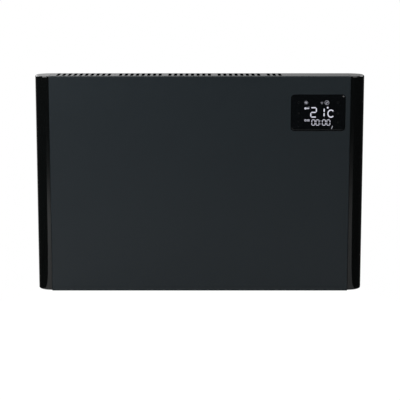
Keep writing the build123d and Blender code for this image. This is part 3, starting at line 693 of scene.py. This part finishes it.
def next_ring(shape, edges, rise, size):
    """Extrude a ring of edges along Z and resize it about the Z axis."""
    made = bmesh.ops.extrude_edge_only(shape, edges=edges)["geom"]
    verts = [v for v in made if isinstance(v, bmesh.types.BMVert)]
    bmesh.ops.translate(shape, verts=verts, vec=(0, 0, rise))
    bmesh.ops.scale(shape, verts=verts, vec=(size, size, 1.0))
    return [e for e in made if isinstance(e, bmesh.types.BMEdge)]


def headed_shank(shape, head_radius, head_height, rings, shank_share, shank_length):
    """Head on a shank, with the head's seat at the origin; gives back the head's last ring, left open."""
    rim = bmesh.ops.create_circle(shape, segments=ring_sides, radius=head_radius)["verts"]
    seat = list({e for v in rim for e in v.link_edges})
    lower = next_ring(shape, seat, 0.0, shank_share)
    lower = next_ring(shape, lower, -shank_length, 1.0)
    bmesh.ops.holes_fill(shape, edges=lower)
    top = seat
    for rise, size in rings:
        top = next_ring(shape, top, rise * head_height, size)
    return top


def cut_cross(shape, top, head_radius, head_height):
    """Close a head's last ring with a cross recess."""
    arm, half = head_radius * cross_arm_share, head_radius * cross_half_share
    outline = []
    for quarter in range(4):
        turn = Matrix.Rotation(quarter * math.pi / 2, 4, "Z")
        for x, y in ((arm, -half), (arm, half), (half, half)):
            outline.append(shape.verts.new(turn @ Vector((x, y, head_height))))
    cross = [shape.edges.new((outline[i - 1], outline[i])) for i in range(len(outline))]
    bmesh.ops.bridge_loops(shape, edges=top + cross)
    floor = next_ring(shape, cross, -head_height * cross_depth_share, cross_taper)
    bmesh.ops.holes_fill(shape, edges=floor)


def put_new(shape, before, place):
    """Move the vertices that weren't there before to their place."""
    added = [v for v in shape.verts if v not in before]
    bmesh.ops.transform(shape, verts=added, matrix=place)


def rear_screw_set(shape):
    """Pan-head screws in the rear panel, each stopped at its own angle."""
    outwards = Matrix.Rotation(-math.pi / 2, 4, "X")
    for number, (low, high) in enumerate(solids_of("rear_screws")):
        before = set(shape.verts)
        radius = (high.x - low.x) / 2
        seat_y = high.y - pan_head_height
        top = headed_shank(shape, radius, pan_head_height, pan_head_rings, pan_shank_share,
                           seat_y - low.y)
        cut_cross(shape, top, radius, pan_head_height)
        centre = Vector(((low.x + high.x) / 2, seat_y, (low.z + high.z) / 2))
        turn = Matrix.Rotation(screw_turn * number, 4, "Z")
        put_new(shape, before, Matrix.Translation(centre) @ outwards @ turn)
    bmesh.ops.recalc_face_normals(shape, faces=shape.faces)
    shade(shape, head_crease_degrees)


def top_cross_screw(shape):
    """Flat-head screw, flush with the top cover."""
    low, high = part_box("top_screw")
    radius = (high.x - low.x) / 2
    seat_z = high.z - flat_head_height
    top = headed_shank(shape, radius, flat_head_height, flat_head_rings, flat_shank_share, seat_z - low.z)
    cut_cross(shape, top, radius, flat_head_height)
    put_new(shape, set(), Matrix.Translation(((low.x + high.x) / 2, (low.y + high.y) / 2, seat_z)))
    bmesh.ops.recalc_face_normals(shape, faces=shape.faces)
    shade(shape, skin_crease_degrees)


def bracket_rivet_set(shape):
    """Blind rivets with low domed heads and an open middle."""
    towards_front = Matrix.Rotation(math.pi / 2, 4, "X")
    for low, high in solids_of("bracket_rivets"):
        before = set(shape.verts)
        seat_y = low.y + rivet_head_height
        top = headed_shank(shape, (high.x - low.x) / 2, rivet_head_height, rivet_head_rings,
                           rivet_shank_share, high.y - seat_y)
        bmesh.ops.holes_fill(shape, edges=top)
        centre = Vector(((low.x + high.x) / 2, seat_y, (low.z + high.z) / 2))
        put_new(shape, before, Matrix.Translation(centre) @ towards_front)
    bmesh.ops.recalc_face_normals(shape, faces=shape.faces)
    shade(shape, head_crease_degrees)


def make_fasteners():
    """Detailed screws and rivets in place of the plain ones."""
    rows = (
        (rear_screw_set, "screw_black", "casing", "rear_screws"),
        (top_cross_screw, "screw_black", "casing", "top_screw"),
        (bracket_rivet_set, "screw_steel", "wall_bracket", "bracket_rivets"),
    )
    for build, finish, body, node in rows:
        dress(new_piece(build.__name__, build), finish, finish, body, node)


# Studio: the floor's rows are its front edge, the line under the object and its back edge, each as
# the distance behind the origin and half the floor's width there
floor_rows = ((-2.15, 1.65), (-0.05, 0.325), (4.0, 0.36))
floor_drop = 0.2 * MM
floor_grey = 0.54
floor_glow = 1.06
floor_glow_share = 0.93
backdrop_starts, backdrop_full = 0.75, 0.95
backdrop_middle = 0.42
backdrop_fall = 1.20
backdrop_least = 0.22
studio_dark = 0.025


def make_floor():
    """Pale paper that widens towards the viewer and ends where the studio is dark."""
    def build(shape):
        made = bmesh.ops.create_grid(shape, x_segments=1, y_segments=2, size=1.0)
        verts = sorted(made["verts"], key=lambda v: v.co.y)
        for number, (y, half_width) in enumerate(floor_rows):
            for vert in verts[2 * number:2 * number + 2]:
                vert.co = (math.copysign(half_width, vert.co.x), y, -floor_drop)

    floor = new_piece("floor", build)
    paper = Finish("floor_paper", (floor_grey, floor_grey, floor_grey), 0.8)
    glow = paper.node("ShaderNodeEmission", {}, {"Color": (1, 1, 1, 1), "Strength": floor_glow})
    seen = paper.node("ShaderNodeLightPath", {}, {}, "Is Camera Ray")
    mixed = paper.node("ShaderNodeMixShader", {}, {0: seen * floor_glow_share, 2: glow})
    paper.tree.links.new(paper.shader.outputs[0], mixed.source.node.inputs[1])
    paper.tree.links.new(mixed.source, paper.tree.nodes["Material Output"].inputs[0])
    floor.data.materials.append(paper.material)


def make_world():
    """Bright behind the object, dark towards the viewer, and plain white to the camera."""
    world = bpy.data.worlds.new("studio")
    world.use_nodes = True
    bpy.context.scene.world = world
    sky = Nodes(world.node_tree)
    way = sky.node("ShaderNodeTexCoord", {}, {}, "Generated")
    across = sky.node("ShaderNodeSeparateXYZ", {}, {0: way}, "X")
    along = sky.node("ShaderNodeSeparateXYZ", {}, {0: way}, "Y")
    behind = sky.node("ShaderNodeMapRange", {}, {
        "Value": along, "From Min": backdrop_starts, "From Max": backdrop_full})
    backdrop = behind * (backdrop_middle - across * backdrop_fall).at_least(backdrop_least)
    seen = sky.node("ShaderNodeLightPath", {}, {}, "Is Camera Ray")
    strength = seen.at_least(backdrop + studio_dark)
    background = sky.tree.nodes["Background"]
    background.inputs["Color"].default_value = (1, 1, 1, 1)
    sky.tree.links.new(strength.source, background.inputs["Strength"])


def add_lamp(name, place, target, size, power):
    """Soft box at a place, turned to a target."""
    data = bpy.data.lights.new(name, "AREA")
    data.shape = "RECTANGLE"
    data.size, data.size_y = size
    data.energy = power
    lamp = bpy.data.objects.new(name, data)
    lamp.location = place
    lamp.rotation_euler = (Vector(target) - Vector(place)).to_track_quat("-Z", "Y").to_euler()
    bpy.context.scene.collection.objects.link(lamp)


def make_lamps():
    """Two lamps near the front, one overhead and two behind."""
    add_lamp("key_left", (-0.95, -0.75, 0.95), (-0.10, 0, 0.25), (0.6, 0.6), 18.0)
    add_lamp("fill_right", (0.90, -0.75, 1.0), (0.20, 0, 0.3), (0.5, 0.5), 6.5)
    add_lamp("overhead", (0, -0.25, 1.9), (0, 0, 0), (0.9, 0.5), 6.0)
    add_lamp("rear_left", (-1.3, 1.5, 1.3), (0, 0, 0.2), (0.9, 0.9), 22.0)
    add_lamp("rear_right", (1.4, 1.3, 1.5), (0, 0, 0.2), (0.7, 0.7), 14.0)


def make_camera():
    """Camera at the photograph's viewing angle."""
    data = bpy.data.cameras.new("camera")
    data.sensor_width = sensor_mm
    data.lens = sensor_mm * focal_pixels / frame_pixels
    camera = bpy.data.objects.new("camera", data)
    camera.location = (camera_x, panel_low.y - camera_before_front, panel_high.z + camera_above_top)
    camera.rotation_euler = (math.pi / 2 - camera_pitch, 0, 0)
    bpy.context.scene.collection.objects.link(camera)
    bpy.context.scene.camera = camera


# Each row has a body, how far its edges are eased in millimetres, and the nodes that get a smooth skin
skin_rows = (
    ("casing", 0.0, ("front_panel", "left_end_cap", "right_end_cap", "rear_panel", "switch_body",
                     "heating_element")),
    ("casing", 0.25, ("top_grille", "bottom_grille", "cord_inlet_bush")),
    ("power_rocker", 0.4, ("switch_rocker",)),
    ("wall_bracket", 0.3, ("bracket_cross_rail", "left_bracket_upright", "right_bracket_upright",
                           "bracket_buffers")),
)

make_camera()
finish_nodes()
for body, edge_mm, nodes in skin_rows:
    for node in nodes:
        smooth_skin(node, body, edge_mm)
make_display()
make_rocker_marks()
make_fasteners()
make_floor()
make_world()
make_lamps()
bpy.context.scene.view_settings.view_transform = "Standard"
